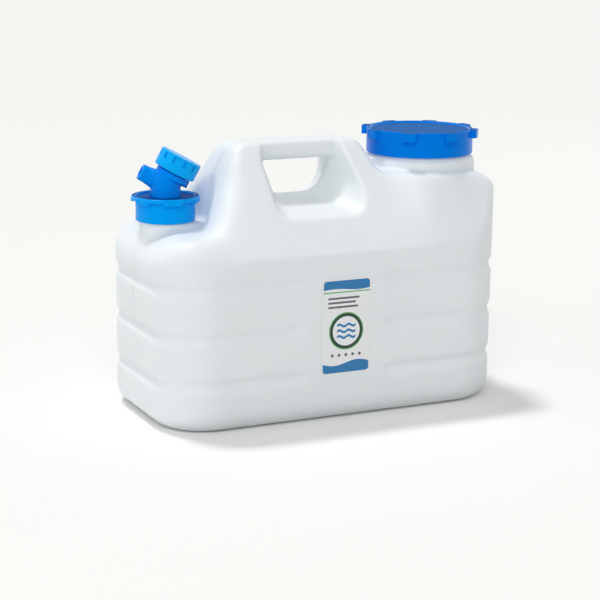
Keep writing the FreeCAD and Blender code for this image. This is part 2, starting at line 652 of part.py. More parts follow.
# ----------------------------------------------------------------------------------------------
# Tap cap: a small screw cap with a lobed flange and a dished top that carries the tap
# ----------------------------------------------------------------------------------------------
CAP_INSIDE = "tap_neck_radius + cap_clearance"
FLANGE_FOOT = f"({RING_TOP} - ring_flange_height)"
cap = new_body("tap_cap")
revolved(cap, "cap_shell", [
    (CAP_INSIDE, f"{TAP_RIM} - ring_depth"),
    (RING_RADIUS, f"{TAP_RIM} - ring_depth", "lid_edge"),
    (RING_RADIUS, FLANGE_FOOT),
    (FLANGE_RADIUS, FLANGE_FOOT, "ring_edge"),
    (FLANGE_RADIUS, RING_TOP, "ring_edge"),
    (f"{FLANGE_RADIUS} - ring_rim_width", RING_TOP, "lid_edge"),
    (f"{FLANGE_RADIUS} - ring_rim_width", RING_WEB_TOP),
    ("spigot_radius + spigot_clearance", RING_WEB_TOP),
    ("spigot_radius + spigot_clearance", TAP_RIM),
    (CAP_INSIDE, TAP_RIM),
])
lobe_shape = new_sketch(cap, "lobe_shape", "XY_Plane", f"{FLANGE_FOOT} - ring_lobe_drop")
LOBE_ROOT = f"{RING_RADIUS} - ring_wall / 2"
LOBE_REACH = f"{FLANGE_RADIUS} - ring_lobe_setback"
outline(lobe_shape, [
    (LOBE_ROOT, "-ring_lobe_width / 2"),
    (LOBE_REACH, "-ring_lobe_width / 2", "ring_lobe_corner"),
    (LOBE_REACH, "ring_lobe_width / 2", "ring_lobe_corner"),
    (LOBE_ROOT, "ring_lobe_width / 2"),
])
lobe = pad(cap, lobe_shape, "cap_lobe", "ring_lobe_drop + ring_edge")
polar(cap, lobe, "cap_lobes", "ring_lobe_count")
place(cap, TAP_X, yaw="ring_lobe_turn")

# ----------------------------------------------------------------------------------------------
# Tap: an upright stem cut off by a tilted valve face, an outlet nozzle below that face, and a
# collar and journal on it that carry the knob
# ----------------------------------------------------------------------------------------------
PIVOT = f"({RING_WEB_TOP} + pivot_rise)"


def tilted_sketch(body, name, rise, reach=None):
    """A sketch square to the knob's axis or, given a reach, square to the nozzle's axis."""
    sketch = new_sketch(body, name, "XY_Plane")
    along = reach or "0"
    across = f"({rise}) * sin(tap_tilt) - ({along}) * cos(tap_tilt)"
    height = f"{PIVOT} + ({rise}) * cos(tap_tilt) + ({along}) * sin(tap_tilt)"
    side = 1 if reach is None else -1
    angle = "tap_tilt" if reach is None else "90 - tap_tilt"
    sketch.AttachmentOffset = FreeCAD.Placement(
        Vector(0, 0, 0), FreeCAD.Rotation(Vector(0, side, 0), value(angle))
    )
    sketch.setExpression("AttachmentOffset.Base.x", cells(across))
    sketch.setExpression("AttachmentOffset.Base.z", cells(height))
    sketch.setExpression("AttachmentOffset.Rotation.Angle", cells(angle))
    return sketch


def tilted_disc(name, radius, length, rise, reach=None, reversed_way=False):
    """Adds a disc to the tap, square to the knob's axis or to the nozzle's."""
    sketch = tilted_sketch(tap, f"{name}_circle", rise, reach)
    circle(sketch, "0", "0", radius)
    return pad(tap, sketch, name, length, reversed_way)


tap = new_body("tap_body")
spigot = new_sketch(tap, "spigot_circle", "XY_Plane", TAP_RIM)
circle(spigot, "0", "0", "spigot_radius")
pad(tap, spigot, "spigot", "ring_web + stem_radius")
stem = new_sketch(tap, "stem_circle", "XY_Plane", RING_WEB_TOP)
circle(stem, "0", "0", "stem_radius")
pad(tap, stem, "stem", "pivot_rise + 2 * stem_radius")
FACE_X = "face_rise * sin(tap_tilt)"
FACE_Z = f"({PIVOT} + face_rise * cos(tap_tilt))"
CUT_RUN = "4 * stem_radius"
above_face = new_sketch(tap, "above_valve_face", "XZ_Plane")
outline(above_face, [
    (f"{FACE_X} - {CUT_RUN} * cos(tap_tilt)", f"{FACE_Z} + {CUT_RUN} * sin(tap_tilt)"),
    (f"{FACE_X} + {CUT_RUN} * cos(tap_tilt)", f"{FACE_Z} - {CUT_RUN} * sin(tap_tilt)"),
    (f"{FACE_X} + {CUT_RUN} * cos(tap_tilt)", f"{FACE_Z} + {CUT_RUN}"),
])
pocket_through(tap, above_face, "valve_face")
tilted_disc("nozzle", "nozzle_radius", "nozzle_reach", "nozzle_rise", "nozzle_reach", reversed_way=True)
bore = tilted_sketch(tap, "bore_circle", "nozzle_rise", "nozzle_reach")
circle(bore, "0", "0", "nozzle_bore")
bore_cut = tap.newObject("PartDesign::Pocket", "outlet_bore")
bore_cut.Profile = bore
bore_cut.Type = "Length"
bore_cut.setExpression("Length", cells("nozzle_bore_depth"))
tilted_disc("collar", "collar_radius", "collar_height", "face_rise")
tilted_disc("journal", "journal_radius", "collar_height + journal_height", "face_rise")
lug_shape = tilted_sketch(tap, "stop_lug_shape", "face_rise - lug_drop")
outline(lug_shape, [
    ("journal_radius", "-lug_width / 2"),
    ("collar_radius + lug_out", "-lug_width / 2"),
    ("collar_radius + lug_out", "lug_width / 2"),
    ("journal_radius", "lug_width / 2"),
])
pad(tap, lug_shape, "stop_lug", "collar_height + lug_drop")

# ----------------------------------------------------------------------------------------------
# Knob: it turns on the journal; modelled upright from the valve face, then set on its tilted axis
# ----------------------------------------------------------------------------------------------
GRIP_FOOT = "(collar_height + knob_gap)"
GRIP_TOP = f"({GRIP_FOOT} + knob_height)"
SOCKET_TOP = "collar_height + journal_height + running_gap"
knob = new_body("tap_knob")
revolved(knob, "knob_shell", [
    ("journal_radius + running_gap", "collar_height + running_gap"),
    ("knob_boss_radius", "collar_height + running_gap"),
    ("knob_boss_radius", GRIP_FOOT),
    ("knob_radius", GRIP_FOOT, "knob_edge"),
    ("knob_radius", GRIP_TOP, "knob_edge"),
    ("0", GRIP_TOP),
    ("0", SOCKET_TOP),
    ("journal_radius + running_gap", SOCKET_TOP),
])
notch_shape = new_sketch(knob, "notch_shape", "XY_Plane", f"{GRIP_TOP} - notch_drop")
notch_shape.setExpression("AttachmentOffset.Rotation.Angle", cells("notch_turn"))
outline(notch_shape, [
    ("knob_radius - notch_depth", "-notch_width / 2"),
    ("knob_radius + notch_depth", "-notch_width / 2"),
    ("knob_radius + notch_depth", "notch_width / 2"),
    ("knob_radius - notch_depth", "notch_width / 2"),
])
notch = knob.newObject("PartDesign::Pocket", "notch")
notch.Profile = notch_shape
notch.Type = "Length"
notch.setExpression("Length", cells("notch_height"))
polar(knob, notch, "notches", "notch_count")

place(tap, TAP_X, yaw="tap_turn")
place(
    knob, f"{TAP_X} + {FACE_X} * cos(tap_turn)", f"{FACE_X} * sin(tap_turn)", FACE_Z,
    yaw="tap_turn", pitch="tap_tilt",
)

# ----------------------------------------------------------------------------------------------
# Checks and files
# ----------------------------------------------------------------------------------------------
doc.recompute()
pieces = [can, label, lid, cap, tap, knob]
for item in doc.Objects:
    if "Invalid" in item.State or "Error" in item.State:
        raise RuntimeError(f"{item.Label} did not recompute")
for piece in pieces:
    if piece.Shape.isNull() or not piece.Shape.isValid():
        raise RuntimeError(f"{piece.Label} has no valid shape")
    if len(piece.Shape.Solids) != 1:
        raise RuntimeError(f"{piece.Label} is not one solid")

os.makedirs("parts", exist_ok=True)
for piece in pieces:
    piece.Shape.exportStep(f"parts/{piece.Label}.step")
    print(f"{piece.Label}: {piece.Shape.Volume / 1000:.1f} cm3")
axis = knob.Placement.Rotation.multVec(Vector(0, 0, 1))
print("knob axis through", tuple(round(part, 4) for part in knob.Placement.Base))
print("knob axis along", tuple(round(part, 6) for part in axis))
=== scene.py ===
"""Water jerrycan with tap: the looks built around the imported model, laid out as an add-on."""

import json
import math

import bmesh
import bpy
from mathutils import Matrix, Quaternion, Vector


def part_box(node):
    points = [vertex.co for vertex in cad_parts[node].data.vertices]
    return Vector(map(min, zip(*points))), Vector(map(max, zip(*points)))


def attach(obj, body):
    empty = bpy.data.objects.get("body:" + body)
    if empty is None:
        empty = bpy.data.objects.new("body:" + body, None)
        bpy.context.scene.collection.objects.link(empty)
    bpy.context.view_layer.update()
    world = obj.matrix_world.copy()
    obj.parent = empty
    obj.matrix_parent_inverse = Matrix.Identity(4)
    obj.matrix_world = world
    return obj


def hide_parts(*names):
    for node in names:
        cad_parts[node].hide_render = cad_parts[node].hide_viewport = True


bl_info = {
    "name": "Water Jerrycan with Tap",
    "version": (1, 0, 0),
    "blender": (4, 5, 0),
    "location": "3D View > Sidebar > Jerrycan",
    "description": "Blown skin, moulded lids and tap, printed label and stage of a water can",
    "category": "Add Mesh",
}

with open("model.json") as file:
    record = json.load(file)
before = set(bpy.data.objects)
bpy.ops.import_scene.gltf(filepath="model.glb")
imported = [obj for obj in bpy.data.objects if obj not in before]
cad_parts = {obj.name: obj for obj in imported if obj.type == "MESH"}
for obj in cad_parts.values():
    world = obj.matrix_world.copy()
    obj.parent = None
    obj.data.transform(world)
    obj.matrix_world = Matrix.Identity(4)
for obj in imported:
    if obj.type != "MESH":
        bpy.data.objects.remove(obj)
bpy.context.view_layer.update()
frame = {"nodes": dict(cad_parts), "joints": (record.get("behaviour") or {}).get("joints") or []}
MM = 0.001
# The body that every piece but the knob belongs to.
CAN_BODY = "can"


# ----------------------------------------------------------------------------------------------
# Settings
# ----------------------------------------------------------------------------------------------
def length(name, millimetres, description):
    """A length setting, given in millimetres and kept in metres."""
    return bpy.props.FloatProperty(
        name=name, description=description, default=millimetres * MM,
        min=0.0, precision=5, unit="LENGTH",
    )


def linear(hex_colour):
    """An sRGB colour written as six hex digits, as linear red, green, blue and alpha."""
    parts = [int(hex_colour[start:start + 2], 16) / 255 for start in (0, 2, 4)]
    return [
        part / 12.92 if part <= 0.04045 else ((part + 0.055) / 1.055) ** 2.4 for part in parts
    ] + [1.0]


def tint(name, hex_colour, description):
    """A colour setting, given as sRGB hex digits and kept as a linear colour."""
    return bpy.props.FloatVectorProperty(
        name=name, description=description, default=linear(hex_colour),
        size=4, min=0.0, max=1.0, subtype="COLOR",
    )


class JerrycanSkin(bpy.types.PropertyGroup):
    """The blown polyethylene skin and its parting line"""

    voxel: length("Cell", 2.05, "Cell size of the skin's mesh")
    relax: bpy.props.IntProperty(
        name="Relax", description="Rounds of smoothing that soften the edges", default=6, min=0
    )
    shoulder_rounds: bpy.props.IntProperty(
        name="Shoulder rounds", default=70, min=0,
        description="Rounds of smoothing on the riser's and the tap deck's wide round edges",
    )
    neck_rounds: bpy.props.IntProperty(
        name="Neck rounds", default=36, min=0,
        description="Rounds of smoothing where a neck flares into its deck",
    )
    wave_depth: length("Wave depth", 0.22, "How far the blown wall sinks at most")
    wave_size: length("Wave size", 46.0, "Distance between swells of the blown wall")
    seam_width: length("Seam width", 0.6, "Width of the parting line")
    seam_height: length("Seam height", 0.12, "Height of the parting line")
    seam_foot: length("Seam foot", 4.0, "Lowest point of the parting line")
    colour: tint("Polyethylene", "EEF3F6", "Milky natural polyethylene")


class JerrycanPlastics(bpy.types.PropertyGroup):
    """Colours and gloss of the moulded parts, and the tap's elbow"""

    lid: tint("Lid", "0280EC", "Blue of the wide lid")
    cap: tint("Cap", "06A4FC", "Blue of the tap's cap")
    tap: tint("Tap", "0594FC", "Blue of the tap")
    knob: tint("Knob", "10B0FF", "Blue of the knob")
    # Painted shade: the darker blue that the upward-facing tops of the lid and the cap take instead
    # of their own colour.
    painted_top_shade: tint("Crown", "0058A2", "Deeper blue of the thick, matt crowns")
    gloss: tint("Gloss", "2EC4FF", "Tint of the gloss on the dyed plastic")
    lid_roughness: bpy.props.FloatProperty(
        name="Lid roughness", description="Roughness of the lid's skirt", default=0.24,
        min=0.0, max=1.0, subtype="FACTOR",
    )
    tap_roughness: bpy.props.FloatProperty(
        name="Tap roughness", description="Roughness of the cap, the tap and the knob",
        default=0.26, min=0.0, max=1.0, subtype="FACTOR",
    )
    elbow_cell: length("Elbow cell", 0.5, "Cell size of the tap's mesh")
    elbow_relax: bpy.props.IntProperty(
        name="Elbow relax", description="Rounds of smoothing that soften the tap", default=3, min=0
    )
    elbow_tip: length("Outlet radius", 7.6, "Outer radius of the outlet at its mouth")
    elbow_root: length("Elbow radius", 10.5, "Outer radius of the outlet where it leaves the stem")


class JerrycanLabel(bpy.types.PropertyGroup):
    """The printed label"""

    print_lift: length("Print lift", 0.01, "Thickness of the ink film")
    paper: tint("Film", "F1F2F4", "White of the label film")
    band: tint("Band", "1F79B4", "Blue of the bands and waves")
    dark: tint("Dark", "1B3A30", "Dark green of the ring")
    leaf: tint("Leaf", "62AE57", "Green of the ring's edge and the line")
    grey: tint("Grey", "6A6870", "Grey of the bars and dots")


class JerrycanStage(bpy.types.PropertyGroup):
    """Floor, lights and camera"""

    floor_size: bpy.props.FloatProperty(
        name="Floor", description="Width of the floor", default=40.0, unit="LENGTH"
    )
    lens: bpy.props.FloatProperty(
        name="Lens", description="Focal length in millimetres", default=102.28
    )
    camera_place: bpy.props.FloatVectorProperty(
        name="Camera", description="Place of the camera", default=(-0.69847, -1.43520, 0.46201),
        subtype="TRANSLATION",
    )
    camera_target: bpy.props.FloatVectorProperty(
        name="Target", description="Point at the picture's centre",
        default=(-0.005545, 0.0, 0.095388), subtype="TRANSLATION",
    )
    camera_roll: bpy.props.FloatProperty(
        name="Roll", description="Roll of the camera", default=math.radians(0.706),
        subtype="ANGLE",
    )


GROUPS = {
    "jerrycan_skin": JerrycanSkin,
    "jerrycan_plastics": JerrycanPlastics,
    "jerrycan_label": JerrycanLabel,
    "jerrycan_stage": JerrycanStage,
}


# ----------------------------------------------------------------------------------------------
# Nodes and materials
# ----------------------------------------------------------------------------------------------
def add_node(tree, kind, inputs=None, **settings):
    """Adds a node to a tree with its settings, and sets or links its inputs by name or number."""
    node = tree.nodes.new(kind)
    for name, setting in settings.items():
        setattr(node, name, setting)
    for key, source in (inputs or {}).items():
        if isinstance(source, bpy.types.NodeSocket):
            tree.links.new(source, node.inputs[key])
        else:
            node.inputs[key].default_value = source
    return node


def empty_tree(owner):
    """The node tree of a material or a world, with its default nodes taken out."""
    owner.use_nodes = True
    owner.node_tree.nodes.clear()
    return owner.node_tree


def new_material(name):
    """An empty node material, its tree, and the Object coordinates it is drawn in."""
    material = bpy.data.materials.new(name)
    tree = empty_tree(material)
    return material, tree, add_node(tree, "ShaderNodeTexCoord").outputs["Object"]


def shaded(colour, shares):
    """A linear colour with its red, green and blue each taken down to a share."""
    return [part * share for part, share in zip(colour, shares)] + [1.0]


def close_material(material, tree, shader):
    """Links the finished shader to the material's output."""
    add_node(tree, "ShaderNodeOutputMaterial", {"Surface": shader.outputs[0]})
    return material


# Natural high-density polyethylene, blow-moulded: milky and slightly translucent, with a satin skin
# that has the fine tooth of a sand-blasted mould and long soft swells where the wall varies.
def hdpe_blow_moulded(colour):
    """Milky polyethylene with a fine moulded tooth."""
    material, tree, place = new_material("hdpe_blow_moulded")
    tooth_mm = 1.6
    cloud_mm = 60.0
    tooth = add_node(
        tree, "ShaderNodeTexNoise",
        {"Vector": place, "Scale": 1 / (tooth_mm * MM), "Detail": 3.0, "Roughness": 0.55},
    )
    cloud = add_node(
        tree, "ShaderNodeTexNoise",
        {"Vector": place, "Scale": 1 / (cloud_mm * MM), "Detail": 2.0, "Roughness": 0.5},
    )
    thicker = shaded(colour, (0.955, 0.965, 0.97))
    body = add_node(
        tree, "ShaderNodeMix",
        {"Factor": cloud.outputs["Fac"], "A": thicker, "B": colour},
        data_type="RGBA",
    )
    gloss = add_node(
        tree, "ShaderNodeMapRange",
        {"Value": tooth.outputs["Fac"], "To Min": 0.42, "To Max": 0.5},
    )
    bump = add_node(
        tree, "ShaderNodeBump",
        {"Height": tooth.outputs["Fac"], "Distance": 0.03 * MM, "Strength": 0.6},
    )
    shader = add_node(
        tree, "ShaderNodeBsdfPrincipled",
        {
            "Base Color": body.outputs["Result"],
            "Roughness": gloss.outputs["Result"],
            "Normal": bump.outputs["Normal"],
            "IOR": 1.5,
            "Subsurface Weight": 0.3,
            "Subsurface Radius": (0.006, 0.006, 0.007),
            "Subsurface Scale": 1.0,
        },
    )
    return close_material(material, tree, shader)


# How much rougher the upward-facing crown is than the skirt below it.
CROWN_MATT = 0.4
# Upward part of the normal at which a face begins to count as crown, and at which it fully does.
# The crown takes painted shade, a darker blue, and more roughness.
CROWN_BEGINS, CROWN_FULL = 0.93, 0.99


# Polypropylene, injection-moulded and dyed in the mass: a waxy gloss that takes on the dye's
# colour, because light comes back from just under the skin, with a fine grain and a little
# unevenness of colour where the melt flowed.
def polypropylene_moulded(name, colour, painted_top_shade, gloss_tint, roughness):
    """Dyed polypropylene with a waxy gloss, with painted shade and more roughness on its
    upward-facing crown.
    """
    material, tree, place = new_material(name)
    grain_mm = 0.9
    flow_mm = 14.0
    grain = add_node(
        tree, "ShaderNodeTexNoise",
        {"Vector": place, "Scale": 1 / (grain_mm * MM), "Detail": 2.0, "Roughness": 0.5},
    )
    flow = add_node(
        tree, "ShaderNodeTexNoise",
        {"Vector": place, "Scale": 1 / (flow_mm * MM), "Detail": 3.0, "Distortion": 0.6},
    )
    deeper = shaded(colour, (0.8, 0.9, 0.93))
    body = add_node(
        tree, "ShaderNodeMix",
        {"Factor": flow.outputs["Fac"], "A": deeper, "B": colour},
        data_type="RGBA",
    )
    # Painted shade: faces that look upward take the darker crown blue, and more roughness.
    facing = add_node(tree, "ShaderNodeNewGeometry").outputs["Normal"]
    upward = add_node(tree, "ShaderNodeSeparateXYZ", {0: facing}).outputs["Z"]
    top_shade_and_matt = add_node(
        tree, "ShaderNodeMapRange",
        {"Value": upward, "From Min": CROWN_BEGINS, "From Max": CROWN_FULL},
        interpolation_type="SMOOTHSTEP",
    ).outputs["Result"]
    whole = add_node(
        tree, "ShaderNodeMix",
        {"Factor": top_shade_and_matt, "A": body.outputs["Result"], "B": painted_top_shade},
        data_type="RGBA",
    )
    gloss = add_node(
        tree, "ShaderNodeMapRange",
        {"Value": grain.outputs["Fac"], "To Min": roughness - 0.04, "To Max": roughness + 0.05},
    )
    crown_gloss = add_node(
        tree, "ShaderNodeMath",
        {0: top_shade_and_matt, 1: CROWN_MATT, 2: gloss.outputs["Result"]}, operation="MULTIPLY_ADD",
    )
    bump = add_node(
        tree, "ShaderNodeBump",
        {"Height": grain.outputs["Fac"], "Distance": 0.015 * MM, "Strength": 0.5},
    )
    shader = add_node(
        tree, "ShaderNodeBsdfPrincipled",
        {
            "Base Color": whole.outputs["Result"],
            "Roughness": crown_gloss.outputs[0],
            "Normal": bump.outputs["Normal"],
            "IOR": 1.49,
            "Specular IOR Level": 0.14,
            "Specular Tint": gloss_tint,
        },
    )
    return close_material(material, tree, shader)


# Polypropylene label film with gravure ink under a thin varnish: even, smooth and satin.
def printed_film(name, colour):
    """Label film or ink with a very slight mottle."""
    material, tree, place = new_material(name)
    mottle_mm = 2.5
    mottle = add_node(
        tree, "ShaderNodeTexNoise",
        {"Vector": place, "Scale": 1 / (mottle_mm * MM), "Detail": 2.0},
    )
    thinner = shaded(colour, (0.96, 0.96, 0.96))
    body = add_node(
        tree, "ShaderNodeMix",
        {"Factor": mottle.outputs["Fac"], "A": thinner, "B": colour},
        data_type="RGBA",
    )
    gloss = add_node(
        tree, "ShaderNodeMapRange",
        {"Value": mottle.outputs["Fac"], "To Min": 0.3, "To Max": 0.36},
    )
    shader = add_node(
        tree, "ShaderNodeBsdfPrincipled",
        {"Base Color": body.outputs["Result"], "Roughness": gloss.outputs["Result"], "IOR": 1.49},
    )
    return close_material(material, tree, shader)


# ----------------------------------------------------------------------------------------------
# Meshes
# ----------------------------------------------------------------------------------------------
def link(name, mesh):
    """A new object at the origin that holds a mesh."""
    piece = bpy.data.objects.new(name, mesh)
    bpy.context.scene.collection.objects.link(piece)
    return piece


# Points of a CAD mesh nearer to each other than this are the same point.
WELD = 0.002 * MM


def welded_copy(node, name):
    """A CAD node's mesh, copied and with its loose triangles joined."""
    mesh = frame["nodes"][node].data.copy()
    mesh.name = name
    work = bmesh.new()
    work.from_mesh(mesh)
    bmesh.ops.remove_doubles(work, verts=work.verts, dist=WELD)
    bmesh.ops.dissolve_degenerate(work, edges=work.edges, dist=WELD)
    work.to_mesh(mesh)
    work.free()
    mesh.materials.clear()
    return mesh


def soften(piece, cell, rounds):
    """Remeshes a piece into even cells and relaxes them, so that its sharp edges turn soft."""
    remesh = piece.modifiers.new("Cells", "REMESH")
    remesh.mode = "VOXEL"
    remesh.voxel_size = cell
    relax = piece.modifiers.new("Relax", "SMOOTH")
    relax.factor = 0.5
    relax.iterations = rounds


def bake(piece, smooth=True):
    """Puts the piece's evaluated mesh in place of its own and takes its modifiers off."""
    graph = bpy.context.evaluated_depsgraph_get()
    mesh = bpy.data.meshes.new_from_object(piece.evaluated_get(graph))
    piece.modifiers.clear()
    old = piece.data
    piece.data = mesh
    bpy.data.meshes.remove(old)
    mesh.name = piece.name
    mesh.polygons.foreach_set("use_smooth", [smooth] * len(mesh.polygons))


def node_tree_modifier(piece, tree, values):
    """Puts a Geometry Nodes tree on a piece and sets its inputs by their identifiers."""
    modifier = piece.modifiers.new(tree.name, "NODES")
    modifier.node_group = tree
    known = {
        item.name: item.identifier
        for item in tree.interface.items_tree
        if item.item_type == "SOCKET" and item.in_out == "INPUT"
    }
    for name, setting in values.items():
        modifier[known[name]] = setting


def geometry_tree(name, inputs):
    """A Geometry Nodes tree and its group inputs: geometry, then the named ones."""
    tree = bpy.data.node_groups.new(name, "GeometryNodeTree")
    tree.interface.new_socket("Geometry", in_out="INPUT", socket_type="NodeSocketGeometry")
    for label, kind in inputs:
        tree.interface.new_socket(label, in_out="INPUT", socket_type=kind)
    tree.interface.new_socket("Geometry", in_out="OUTPUT", socket_type="NodeSocketGeometry")
    return tree, add_node(tree, "NodeGroupInput").outputs


def finish_tree(tree, geometry, material):
    """Ends a tree in Realize Instances, Set Material and its output."""
    real = add_node(tree, "GeometryNodeRealizeInstances", {"Geometry": geometry})
    coated = add_node(
        tree, "GeometryNodeSetMaterial", {"Geometry": real.outputs[0], "Material": material}
    )
    add_node(tree, "NodeGroupOutput", {0: coated.outputs[0]})


# ----------------------------------------------------------------------------------------------
# Blown skin and parting line
# ----------------------------------------------------------------------------------------------
def blown_wall_tree():
    """Sinks each point of a wall along its normal by a smooth noise, as a blown wall wanders."""
    tree, given = geometry_tree(
        "blown_wall",
        [("Depth", "NodeSocketFloat"), ("Size", "NodeSocketFloat"),
         ("Material", "NodeSocketMaterial")],
    )
    scale = add_node(
        tree, "ShaderNodeMath", {0: 1.0, 1: given["Size"]}, operation="DIVIDE"
    )
    noise = add_node(
        tree, "ShaderNodeTexNoise",
        {"Scale": scale.outputs[0], "Detail": 1.0, "Roughness": 0.4},
    )
    sunk = add_node(
        tree, "ShaderNodeMath", {0: noise.outputs["Fac"], 1: 1.0}, operation="SUBTRACT"
    )
    depth = add_node(
        tree, "ShaderNodeMath", {0: sunk.outputs[0], 1: given["Depth"]}, operation="MULTIPLY"
    )
    normal = add_node(tree, "GeometryNodeInputNormal")
    push = add_node(
        tree, "ShaderNodeVectorMath",
        {0: normal.outputs[0], "Scale": depth.outputs[0]}, operation="SCALE",
    )
    moved = add_node(
        tree, "GeometryNodeSetPosition",
        {"Geometry": given["Geometry"], "Offset": push.outputs["Vector"]},
    )
    finish_tree(tree, moved.outputs[0], given["Material"])
    return tree


def round_spot_tree():
    """Smooths a mesh inside an ellipsoid, fully in its inner half and fading out to its edge."""
    tree, given = geometry_tree(
        "round_spot",
        [("Centre", "NodeSocketVector"), ("Reach", "NodeSocketVector"), ("Rounds", "NodeSocketInt"),
         ("Material", "NodeSocketMaterial")],
    )
    place = add_node(tree, "GeometryNodeInputPosition").outputs[0]
    away = add_node(
        tree, "ShaderNodeVectorMath", {0: place, 1: given["Centre"]}, operation="SUBTRACT"
    )
    share = add_node(
        tree, "ShaderNodeVectorMath", {0: away.outputs[0], 1: given["Reach"]}, operation="DIVIDE"
    )
    far = add_node(tree, "ShaderNodeVectorMath", {0: share.outputs[0]}, operation="LENGTH")
    weight = add_node(
        tree, "ShaderNodeMapRange",
        {"Value": far.outputs["Value"], "From Min": 1.0, "From Max": 0.5},
        interpolation_type="SMOOTHSTEP",
    )
    smooth = add_node(
        tree, "GeometryNodeBlurAttribute",
        {"Value": place, "Iterations": given["Rounds"], "Weight": weight.outputs["Result"]},
        data_type="FLOAT_VECTOR",
    )
    moved = add_node(
        tree, "GeometryNodeSetPosition",
        {"Geometry": given["Geometry"], "Position": smooth.outputs[0]},
    )
    finish_tree(tree, moved.outputs[0], given["Material"])
    return tree


# The tap's deck lies this far below the tap's cap.
DECK_DROP = 5 * MM
# The foot of the riser beside the tap, and the upper rim beside the tap's deck: the run from the
# cap's box, the distance inside the broad face, the rise from the deck, and the spot's reach.
RISER_RUN, RISER_INSET, RISER_RISE = 13 * MM, 25 * MM, 32 * MM
RISER_REACH = Vector((36, 40, 60)) * MM
RIM_RUN, RIM_INSET, RIM_RISE = 26 * MM, 6 * MM, -6 * MM
RIM_REACH = Vector((60, 38, 26)) * MM
# The feet of the two necks: how far the spot reaches past the cap or lid, how far its middle lies
# below the deck or the lid, and its reach up and down.
NECK_MARGIN = 12 * MM
NECK_DROP, NECK_HEIGHT = 2 * MM, 17 * MM
MOUTH_DROP, MOUTH_HEIGHT = 12 * MM, 10 * MM
# The wide mouth's foot is sharper than the tap neck's: it takes this fraction of the rounds.
MOUTH_FRACTION = 3


def round_spots(shoulder_rounds, neck_rounds):
    """Where the mould's edges are rounder: a centre, a reach along X, Y and Z, and the rounds."""
    can_low, can_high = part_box("can_body")
    cap_low, cap_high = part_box("tap_cap")
    deck = cap_low.z - DECK_DROP
    spots = []
    for side, face in ((-1, can_low.y), (1, can_high.y)):
        riser = Vector((cap_high.x + RISER_RUN, face - side * RISER_INSET, deck + RISER_RISE))
        rim = Vector((cap_low.x + RIM_RUN, face - side * RIM_INSET, deck + RIM_RISE))
        spots.append((riser, RISER_REACH, shoulder_rounds))
        spots.append((rim, RIM_REACH, shoulder_rounds))
    feet = (
        ("tap_cap", deck - NECK_DROP, NECK_HEIGHT, neck_rounds),
        ("wide_lid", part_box("wide_lid")[0].z - MOUTH_DROP, MOUTH_HEIGHT,
         neck_rounds // MOUTH_FRACTION),
    )
    for lid, foot, height, rounds in feet:
        low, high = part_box(lid)
        centre = Vector(((low.x + high.x) / 2, 0, foot))
        reach = (high.x - low.x) / 2 + NECK_MARGIN
        spots.append((centre, Vector((reach, reach, height)), rounds))
    return spots


# Length of each step of the parting line's bead.
SEAM_STEP = 2 * MM
# The parting plane takes a point of the skin as its own within this distance.
PLANE_SNAP = 0.001 * MM


def seam_tree():
    """Runs a low rounded bead along the edges of its input mesh."""
    tree, given = geometry_tree(
        "parting_line",
        [("Width", "NodeSocketFloat"), ("Height", "NodeSocketFloat"),
         ("Material", "NodeSocketMaterial")],
    )
    path = add_node(tree, "GeometryNodeMeshToCurve", {"Mesh": given["Geometry"]})
    even = add_node(
        tree, "GeometryNodeResampleCurve", {"Curve": path.outputs[0], "Length": SEAM_STEP},
        mode="LENGTH",
    )
    ring = add_node(
        tree, "GeometryNodeCurvePrimitiveCircle", {"Resolution": 8, "Radius": 0.5}, mode="RADIUS"
    )
    size = add_node(
        tree, "ShaderNodeCombineXYZ", {"X": given["Width"], "Y": given["Height"], "Z": 1.0}
    )
    bead = add_node(
        tree, "GeometryNodeTransform", {"Geometry": ring.outputs[0], "Scale": size.outputs[0]}
    )
    tube = add_node(
        tree, "GeometryNodeCurveToMesh",
        {"Curve": even.outputs[0], "Profile Curve": bead.outputs[0], "Fill Caps": True},
    )
    finish_tree(tree, tube.outputs[0], given["Material"])
    return tree


def seam_path(skin, foot, lid_boxes):
    """The line where the parting plane cuts the skin, above the foot and clear of the caps."""
    work = bmesh.new()
    work.from_mesh(skin.data)
    cut = bmesh.ops.bisect_plane(
        work, geom=work.verts[:] + work.edges[:] + work.faces[:], dist=PLANE_SNAP,
        plane_co=(0, 0, 0), plane_no=(0, 1, 0),
    )
    line = {item for item in cut["geom_cut"] if isinstance(item, bmesh.types.BMEdge)}

    def covered(point):
        """Whether a point lies under the foot line or inside a cap's box."""
        inside = any(
            low.x < point.x < high.x and low.z < point.z < high.z for low, high in lid_boxes
        )
        return inside or point.z < foot

    keep = [edge for edge in line if not any(covered(vert.co) for vert in edge.verts)]
    if not keep:
        raise RuntimeError("the parting plane doesn't meet the skin")
    mesh = bpy.data.meshes.new("parting_path")
    verts = sorted({vert for edge in keep for vert in edge.verts}, key=lambda vert: vert.index)
    number = {vert: index for index, vert in enumerate(verts)}
    mesh.from_pydata(
        [vert.co[:] for vert in verts],
        [[number[vert] for vert in edge.verts] for edge in keep], [],
    )
    work.free()
    return mesh


# ----------------------------------------------------------------------------------------------
# Label print
# ----------------------------------------------------------------------------------------------
# Steps along each round corner and round end.
ROUND_STEPS = 8
# Bare film round the print.
MARGIN = 1.2 * MM
# Height of the two bands and of the wave on their inner edges.
HEAD_BAND, HEAD_WAVE = 8.5 * MM, 0.9 * MM
FOOT_BAND, FOOT_WAVE = 9 * MM, 2.2 * MM
# The green line: its drop from the print's head, and its thickness.
LINE_DROP, LINE_HEIGHT = 11.5 * MM, 1.1 * MM
# The ringed disc: its rise from the print's foot, its sides, and the radii of its three films.
DISC_RISE, DISC_SIDES = 39 * MM, 60
EDGE_RADIUS, RING_RADIUS, FIELD_RADIUS = 17.6 * MM, 16.6 * MM, 13.8 * MM
